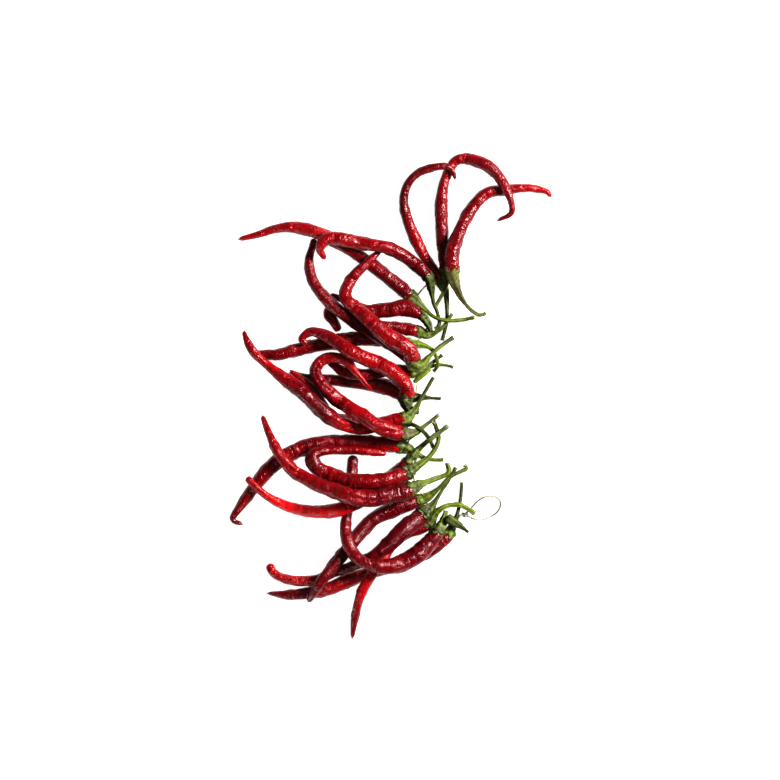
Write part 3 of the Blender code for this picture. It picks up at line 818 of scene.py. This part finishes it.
PLY_END = 0.6 * MM
PLY_FUZZ = Grain(1.1 * MM, 1)
FUZZ_DEPTH = 0.12
PLY_CLEARANCE = 0.02 * MM

# The loop's line keeps this many points between two points of its route.
LOOP_PARTS = 4
KNOT_POINTS = 24
LEG_POINTS = 5


def loop_line():
    """The loop's middle line: on the table, rising to the knot at both ends."""
    plan = smooth_curve(LOOP_ROUTE)
    along = arc_lengths(plan)
    ends = np.minimum(along, along[-1] - along)
    rise = (KNOT_HEIGHT / 2 - TWINE_WIDTH / 2) * np.exp(-((ends / LOOP_RISE) ** 2))
    points = np.column_stack([plan, TWINE_WIDTH / 2 + rise])
    return strand(points[:: CURVE_PARTS // LOOP_PARTS])


def knot_line():
    """A strand wound over and under itself inside the knot's box."""
    low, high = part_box("knot")
    middle, half = np.array((low + high) / 2), np.array((high - low) / 2) - TWINE_WIDTH / 2
    turn = np.linspace(0, FULL_TURN, KNOT_POINTS, endpoint=False)
    across = (np.sin(turn) + 2 * np.sin(2 * turn)) / 3
    away = (np.cos(turn) - 2 * np.cos(2 * turn)) / 3
    return strand(middle + np.column_stack([across, away, -np.sin(3 * turn)]) * half)


def knot_leg(loop, place):
    """A short strand from the middle of the knot to one end of the loop."""
    low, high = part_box("knot")
    return strand(np.linspace((low + high) / 2, loop.centre(np.array([place]))[0], LEG_POINTS))


def ply_mesh(name, line, number, size):
    """One of the twisted plies of the twine: a thin tube wound round the middle line."""

    def place(u, v):
        places = u * line.length
        turn = places / size.twist * FULL_TURN + number / size.plies * FULL_TURN
        middle = line.laid(places, turn, np.full(len(places), TWINE_WIDTH / 2 - size.ply_radius))
        ends = rounded(places / PLY_END) * rounded((line.length - places) / PLY_END)
        fuzz = 1 + FUZZ_DEPTH * PLY_FUZZ.over(places, turn, number)
        angles = v * FULL_TURN
        radii = size.ply_radius * ends * fuzz
        points = middle + radii[:, None] * line.outward(places, angles)
        return above_table(points, PLY_CLEARANCE), {"along": places, "around": turn + angles}

    return rolled_tube(name, int(line.length / size.ply_step), size.ply_sides, place)


def plied(name, lines, size):
    """All plies along one or more lines, joined into one mesh."""
    shape = bmesh.new()
    for line in lines:
        for number in range(size.plies):
            mesh = ply_mesh(name, line, number, size)
            shape.from_mesh(mesh)
            bpy.data.meshes.remove(mesh)
    mesh = bpy.data.meshes.new(name)
    shape.to_mesh(mesh)
    shape.free()
    mesh.shade_smooth()
    return mesh


# ---------------------------------------------------------------- materials


class Wire:
    """The output of a shader node. Arithmetic on it adds Math nodes."""

    def __init__(self, recipe, socket):
        self.recipe = recipe
        self.socket = socket

    def math(self, operation, *values):
        return self.recipe.node("Math", {"operation": operation}, dict(enumerate(values)))["Value"]

    def __add__(self, other):
        return self.math("ADD", self, other)

    def __mul__(self, other):
        return self.math("MULTIPLY", self, other)

    def __sub__(self, other):
        return self.math("SUBTRACT", self, other)

    def __rsub__(self, other):
        return self.math("SUBTRACT", other, self)

    __radd__ = __add__
    __rmul__ = __mul__

    def clipped(self):
        return self.math("MINIMUM", self.math("MAXIMUM", self, 0.0), 1.0)

    def sine(self):
        return self.math("SINE", self)

    def between(self, low, high):
        """0 below low, 1 above high, and a smooth rise from one to the other."""
        sockets = {"Value": self, "From Min": low, "From Max": high}
        return self.recipe.node("MapRange", {"interpolation_type": "SMOOTHSTEP"}, sockets)["Result"]


class Recipe:
    """A material being made: nodes come from node(), and the shader's sockets from set()."""

    def __init__(self, name):
        self.material = bpy.data.materials.new(name)
        self.material.use_nodes = True
        self.tree = self.material.node_tree
        self.shader = self.tree.nodes["Principled BSDF"]

    def node(self, kind, settings=None, sockets=None):
        """Adds a node and gives its outputs in use, by name. Settings come before sockets."""
        made = self.tree.nodes.new("ShaderNode" + kind)
        for key, value in (settings or {}).items():
            setattr(made, key, value)
        for key, value in (sockets or {}).items():
            self.feed(made.inputs[key], value)
        return {output.name: Wire(self, output) for output in made.outputs if output.enabled}

    def feed(self, socket, value):
        """Gives a socket a link, a colour or a number."""
        if isinstance(value, Wire):
            self.tree.links.new(value.socket, socket)
        elif hasattr(value, "__len__"):
            socket.default_value = (*value, 1)
        else:
            socket.default_value = value

    def set(self, **sockets):
        for key, value in sockets.items():
            self.feed(self.shader.inputs[key.replace("_", " ")], value)

    def attribute(self, name):
        return self.node("Attribute", {"attribute_name": name})["Fac"]

    def noise(self, scale, detail):
        """Noise from 0 to 1 with that many cells in a metre."""
        place = self.node("TexCoord")["Object"]
        return self.node("TexNoise", None, {"Vector": place, "Scale": scale, "Detail": detail})["Fac"]

    def mix(self, share, first, second):
        """The first colour, with a share of the second; a Mix node's colours are inputs 6 and 7."""
        return self.node("Mix", {"data_type": "RGBA"}, {0: share, 6: first, 7: second})["Result"]

    def bump(self, height, distance, strength, normal=None):
        sockets = {"Height": height, "Distance": distance, "Strength": strength}
        if normal is not None:
            sockets["Normal"] = normal
        return self.node("Bump", None, sockets)["Normal"]


# Patterns on the materials: noise in cells per metre, waves in radians per metre.
SKIN_TONES = 70
SKIN_MOTTLE = 420
SKIN_PUCKERS = 900
SKIN_GLINTS = 560
ROW_WAVE = 4200
ROW_DRIFT = 330
ROW_DRIFT_REACH = 9
ROW_PATCHES = 160


def skin_material(size):
    """Glossy pod skin: crimson to scarlet, partly painted light and shade, with painted shade in its
    creases and folds, finely puckered in rows.
    """
    recipe = Recipe("chilli skin")
    creased = recipe.attribute("creased")
    pale = recipe.attribute("pale")
    fine = recipe.noise(SKIN_MOTTLE, 3)
    # Painted light and shade: the share of bright red, from each pod's stretches, is partly its own
    # red and partly painted light and shade.
    red_and_light_share = (recipe.attribute("tint") + (recipe.noise(SKIN_TONES, 2) - 0.5) * 0.2).clipped()
    colour = recipe.mix(red_and_light_share, size.deep, size.bright)
    colour = recipe.mix((fine.between(0.5, 0.8) * 0.35).clipped(), colour, size.dark)
    # Painted shade in the creases and folds.
    colour = recipe.mix((creased * 0.2).clipped(), colour, size.dark)
    colour = recipe.mix((pale * (0.4 + fine * 0.6)).clipped(), colour, size.nib)
    drift = recipe.noise(ROW_DRIFT, 2) * ROW_DRIFT_REACH
    wave = (recipe.attribute("along") * ROW_WAVE + drift).sine() * 0.5 + 0.5
    rows = wave * recipe.noise(ROW_PATCHES, 1).between(0.42, 0.62)
    puckers = recipe.bump(rows * 0.7 + recipe.noise(SKIN_PUCKERS, 2), 0.4 * MM, 0.7)
    recipe.set(
        Base_Color=colour,
        Roughness=0.13 + fine * 0.12 + creased * 0.08,
        Specular_IOR_Level=0.36,
        Coat_Weight=(1 - pale * 0.8) * 0.12,
        Coat_Roughness=0.09,
        Coat_IOR=1.45,
        IOR=1.45,
        Normal=recipe.bump(recipe.noise(SKIN_GLINTS, 2), 0.9 * MM, 0.85, puckers),
    )
    return recipe.material


STALK_TONES = 150
STALK_GRAIN = 800
STALK_FIBRES = 2200
CAP_BLOOM = 420
CAP_STAINS = 310


def stalk_material(size):
    """Ribbed stalk: light to dark green by shade, partly its own green and partly painted light and
    shade, with painted shade in the furrows between ribs and painted light on their tops, brown where
    dry, cream where cut.
    """
    recipe = Recipe("chilli stalk")
    cap = recipe.attribute("cap")
    fine = recipe.noise(STALK_GRAIN, 3)
    uneven = (recipe.noise(STALK_TONES, 2) - 0.5) * 0.7
    # Painted light and shade: the shade attribute is partly the stalk's own green and partly painted
    # light and shade, and the ribs paint shade into their furrows and light onto their tops.
    depth = (recipe.attribute("shade") + uneven - recipe.attribute("ribbed") * 0.2).clipped()
    bloom = (cap * 0.6 * recipe.noise(CAP_BLOOM, 2).between(0.45, 0.6)).clipped()
    stains = (cap * 0.65 * recipe.noise(CAP_STAINS, 2).between(0.5, 0.62)).clipped()
    dried = (recipe.attribute("dry") * 1.2 * fine.between(0.3, 0.6)).clipped()
    bare = (recipe.attribute("cut") * (0.55 + fine * 0.6)).clipped()
    colour = recipe.mix(depth, size.light, size.dark)
    colour = recipe.mix(bloom, colour, size.grey)
    colour = recipe.mix(stains, colour, size.dark)
    colour = recipe.mix(dried, colour, size.brown)
    colour = recipe.mix(bare, colour, size.cream)
    colour = recipe.mix((fine.between(0.56, 0.75) * 0.3).clipped(), colour, size.dark)
    recipe.set(
        Base_Color=colour,
        Roughness=0.42 + fine * 0.25,
        Specular_IOR_Level=0.25,
        Normal=recipe.bump(fine + recipe.noise(STALK_FIBRES, 2) * 0.5, 0.3 * MM, 0.6),
    )
    return recipe.material


COTTON_FUZZ = 1800
COTTON_SOIL = 260
FIBRE_WAVE = 5200
FIBRES_ROUND = 5
# Painted light and shade: a wave along the twine lightens and darkens it, as painted light and shade
# as well as wear.
SHADE_AND_WEAR_WAVE = FULL_TURN / (30 * MM)
SHADE_AND_WEAR_START = 0.52


def twine_material(size):
    """Cotton twine: cream plies with darker seams and fine fibres, dirtied and painted with light and
    shade in stretches.
    """
    recipe = Recipe("cotton twine")
    along = recipe.attribute("along")
    fine = recipe.noise(COTTON_FUZZ, 3)
    fibres = recipe.attribute("around") * FIBRES_ROUND + along * FIBRE_WAVE + fine * 4
    fibres = fibres.sine() * 0.5 + 0.5
    # The dark stretches are dirt from the noise, and painted shade and light from the wave along the
    # twine.
    soil_and_shade = 0.1 + recipe.noise(COTTON_SOIL, 2) * 0.8 - (along * SHADE_AND_WEAR_WAVE - SHADE_AND_WEAR_START).sine() * 0.5
    colour = recipe.mix(soil_and_shade.between(0.25, 0.75), size.cream, size.tan)
    colour = recipe.mix((fibres * 0.35).clipped(), colour, size.tan)
    recipe.set(
        Base_Color=colour,
        Roughness=0.85,
        Specular_IOR_Level=0.2,
        Normal=recipe.bump(fibres + fine, 0.12 * MM, 0.7),
    )
    return recipe.material


def floor_material(size):
    """Plain pale floor with a little light of its own, which hides the shadows on it."""
    recipe = Recipe("white table")
    recipe.set(
        Base_Color=size.floor,
        Roughness=0.9,
        Specular_IOR_Level=0.1,
        Emission_Color=WHITE,
        Emission_Strength=size.glow,
    )
    return recipe.material


# ---------------------------------------------------------------- settings


def colour_property(name, description, default):
    return FloatVectorProperty(
        name=name, description=description, subtype="COLOR", size=3, min=0, max=1, default=default
    )


def length_property(name, description, default):
    return FloatProperty(
        name=name, description=description, subtype="DISTANCE", unit="LENGTH", min=0, precision=5,
        default=default,
    )


def share_property(name, description, default):
    return FloatProperty(
        name=name, description=description, subtype="FACTOR", min=0, soft_max=2, default=default
    )


def power_property(name, description, default):
    return FloatProperty(name=name, description=description, subtype="POWER", min=0, default=default)


def count_property(name, description, default, least, most):
    return IntProperty(name=name, description=description, default=default, min=least, max=most)


class ChilliPodSettings(PropertyGroup):
    deep: colour_property("Deep red", "Skin of the darker pods", (0.100, 0.0004, 0.0040))
    bright: colour_property("Bright red", "Skin of the brighter pods", (0.60, 0.0050, 0.0080))
    # The crease red is painted shade in the creases and folds, and also the skin's own mottling.
    dark: colour_property("Crease red", "Skin in creases and mottling", (0.050, 0.0002, 0.0012))
    nib: colour_property("Nib", "Dry point at the tip", (0.36, 0.20, 0.09))
    step: length_property("Ring step", "Distance between rings along a pod", 0.55 * MM)
    sides: count_property("Sides", "Faces round a pod", 40, 8, 96)
    fullness: share_property("Fullness", "Size of the skin against the packed solid", 1.06)
    lumps: share_property("Lumps", "Broad unevenness, as a share of the radius", 0.11)
    swells: share_property("Swells", "Close unevenness, as a share of the radius", 0.08)
    dents: share_property("Dents", "Small hollows, as a share of the radius", 0.10)
    fold: share_property("Folds", "Depth of lengthwise folds, as a share of the radius", 0.22)
    crease: length_property("Crease depth", "Depth of crosswise creases", 0.27 * MM)


class ChilliStalkSettings(PropertyGroup):
    light: colour_property("Light green", "Fresh stalk", (0.150, 0.203, 0.017))
    dark: colour_property("Dark green", "Shaded or blackened stalk", (0.008, 0.012, 0.002))
    grey: colour_property("Cap green", "Greyish bloom on the caps", (0.170, 0.205, 0.080))
    brown: colour_property("Dry brown", "Dried skin of a stalk", (0.12, 0.08, 0.032))
    cream: colour_property("Cut end", "Pale face of a cut end", (0.48, 0.46, 0.28))
    step: length_property("Ring step", "Distance between rings along a stalk", 0.45 * MM)
    sides: count_property("Sides", "Faces round a stalk", 40, 8, 96)


class ChilliTwineSettings(PropertyGroup):
    cream: colour_property("Cream", "Cotton in the light", (0.52, 0.46, 0.33))
    tan: colour_property("Tan", "Cotton in its seams", (0.15, 0.145, 0.09))
    plies: count_property("Plies", "Strands twisted together", 3, 2, 6)
    ply_radius: length_property("Ply radius", "Half the thickness of one strand", 0.40 * MM)
    ply_step: length_property("Ply step", "Distance between rings along a strand", 0.3 * MM)
    ply_sides: count_property("Ply sides", "Faces round a strand", 8, 4, 24)
    twist: length_property("Twist", "Length in which a strand goes once round", 3.4 * MM)


class ChilliStageSettings(PropertyGroup):
    floor: colour_property("Floor", "Plain pale floor", (0.32, 0.32, 0.32))
    glow: share_property("Floor glow", "Light the floor gives of its own", 0.74)
    key: power_property("Key", "Power of the key light", 60.0)
    rim: power_property("Rim", "Power of the low light", 9.0)
    top: power_property("Top", "Power of the overhead light", 2.4)
    sky: share_property("Sky", "Strength of the light from all round", 0.03)


# ---------------------------------------------------------------- operators

FIRST_POD_SEED = 5
POD_SEED_STEP = 31
FIRST_STALK_SEED = 3
STALK_SEED_STEP = 17


class CHILLI_OT_pods(Operator):
    """Lays a creased, glossy skin along every pod"""

    bl_idname = "chilli.pods"
    bl_label = "Pods"

    def execute(self, context):
        lines, size = read_lines(), context.scene.chilli_pods
        skin = skin_material(size)
        for seed, name in zip(itertools.count(FIRST_POD_SEED, POD_SEED_STEP), POD_NAMES):
            node, title = "pod_" + name, "pod_skin_" + name
            added(title, pod_mesh(title, lines[node], POD_LOOKS[name], seed, size), skin, node)
        return {"FINISHED"}


class CHILLI_OT_stalks(Operator):
    """Makes every stalk with its ribs, lobed cap and cut end, and the broken ones"""

    bl_idname = "chilli.stalks"
    bl_label = "Stalks"

    def execute(self, context):
        lines, size = read_lines(), context.scene.chilli_stalks
        green = stalk_material(size)
        for seed, name in zip(itertools.count(FIRST_STALK_SEED, STALK_SEED_STEP), STALK_NAMES):
            node, title, look = "stalk_" + name, "stalk_skin_" + name, STALK_LOOKS[name]
            if name in POD_NAMES:
                mesh = stalk_mesh(title, lines[node], lines["pod_" + name], look, seed, size)
            else:
                mesh = stub_mesh(title, lines[node], look, seed, size)
            added(title, mesh, green, node)
        return {"FINISHED"}


class CHILLI_OT_twine(Operator):
    """Twists the threaded twine, its knot and its free loop from three plies"""

    bl_idname = "chilli.twine"
    bl_label = "Twine, knot and loop"

    def execute(self, context):
        lines, size = read_lines(), context.scene.chilli_twine
        cotton = twine_material(size)
        added("twine_plies", plied("twine_plies", [lines["twine"]], size), cotton, "twine")
        loop = loop_line()
        wound = [knot_line(), knot_leg(loop, 0), knot_leg(loop, loop.length)]
        knot = added("knot_plies", plied("knot_plies", wound, size), cotton, "knot")
        piece = added("loop_plies", plied("loop_plies", [loop], size), cotton, "twine_loop")
        return {"FINISHED"}


# ---------------------------------------------------------------- stage

CAMERA_CENTRE = (-0.0008, 0.0040)
VIEW_WIDTH = 0.624
VIEW_HEIGHT = 0.012
LENS = 250.0
SENSOR = 36.0
FARTHEST_SEEN = 20
FLOOR_REACH = 4
FLOOR_DROP = 0.2 * MM
EXPOSURE = 0.35
GAMMA = 0.76


@dataclass
class Lamp:
    """A rectangular lamp that faces the middle of the string."""

    place: tuple
    width: float
    height: float
    colour: tuple


LAMPS = {
    "key": Lamp((1.05, 0.42, 0.95), 0.34, 0.5, (1.0, 0.985, 0.96)),
    "rim": Lamp((-0.80, -1.0, 0.30), 0.8, 0.22, (0.98, 0.99, 1.0)),
    "top": Lamp((0.1, 0.15, 1.7), 0.9, 0.9, WHITE),
}


def put_camera(scene):
    """A camera straight above that shows VIEW_WIDTH at VIEW_HEIGHT."""
    camera = bpy.data.objects.new("camera", bpy.data.cameras.new("camera"))
    camera.data.lens = LENS
    camera.data.sensor_width = SENSOR
    camera.data.clip_end = FARTHEST_SEEN
    camera.location = (*CAMERA_CENTRE, VIEW_HEIGHT + VIEW_WIDTH * LENS / SENSOR)
    scene.collection.objects.link(camera)
    scene.camera = camera


def put_floor(scene, size):
    shape = bmesh.new()
    bmesh.ops.create_grid(shape, x_segments=1, y_segments=1, size=FLOOR_REACH)
    bmesh.ops.translate(shape, vec=(0, 0, -FLOOR_DROP), verts=shape.verts)
    mesh = bpy.data.meshes.new("floor")
    shape.to_mesh(mesh)
    shape.free()
    mesh.materials.append(floor_material(size))
    floor = bpy.data.objects.new("floor", mesh)
    scene.collection.objects.link(floor)


def put_lamp(scene, name, lamp, power):
    light = bpy.data.lights.new(name, "AREA")
    light.shape = "RECTANGLE"
    light.size = lamp.width
    light.size_y = lamp.height
    light.energy = power
    light.color = lamp.colour
    item = bpy.data.objects.new(name, light)
    item.location = lamp.place
    item.rotation_euler = (-Vector(lamp.place)).to_track_quat("-Z", "Y").to_euler()
    scene.collection.objects.link(item)


def set_sky(scene, strength):
    world = bpy.data.worlds.new("studio")
    world.use_nodes = True
    sky = world.node_tree.nodes["Background"].inputs
    sky["Color"].default_value = (*WHITE, 1)
    sky["Strength"].default_value = strength
    scene.world = world


class CHILLI_OT_stage(Operator):
    """Adds the camera, the pale floor and the studio light"""

    bl_idname = "chilli.stage"
    bl_label = "Stage"

    def execute(self, context):
        scene, size = context.scene, context.scene.chilli_stage
        put_camera(scene)
        put_floor(scene, size)
        for name, lamp in LAMPS.items():
            put_lamp(scene, name, lamp, getattr(size, name))
        set_sky(scene, size.sky)
        scene.view_settings.view_transform = "Standard"
        scene.view_settings.exposure = EXPOSURE
        scene.view_settings.gamma = GAMMA
        return {"FINISHED"}


# ---------------------------------------------------------------- add-on

SETTINGS = {
    "chilli_pods": ChilliPodSettings,
    "chilli_stalks": ChilliStalkSettings,
    "chilli_twine": ChilliTwineSettings,
    "chilli_stage": ChilliStageSettings,
}
PIECES = (CHILLI_OT_stage, CHILLI_OT_twine, CHILLI_OT_pods, CHILLI_OT_stalks)


class CHILLI_PT_panel(Panel):
    """The pieces of the string of chillies and their settings"""

    bl_idname = "CHILLI_PT_panel"
    bl_label = "String of chillies"
    bl_space_type = "VIEW_3D"
    bl_region_type = "UI"
    bl_category = "Chillies"

    def draw(self, context):
        for operator in PIECES:
            self.layout.operator(operator.bl_idname)
        for key, group in SETTINGS.items():
            box = self.layout.box()
            for name in group.__annotations__:
                box.prop(getattr(context.scene, key), name)


CLASSES = (*SETTINGS.values(), *PIECES, CHILLI_PT_panel)


def register():
    for item in CLASSES:
        bpy.utils.register_class(item)
    for key, group in SETTINGS.items():
        setattr(bpy.types.Scene, key, PointerProperty(type=group))


def unregister():
    for key in SETTINGS:
        delattr(bpy.types.Scene, key)
    for item in reversed(CLASSES):
        bpy.utils.unregister_class(item)


def main():
    register()
    bpy.ops.chilli.stage()
    bpy.ops.chilli.twine()
    bpy.ops.chilli.pods()
    bpy.ops.chilli.stalks()


if __name__ == "__main__":
    main()
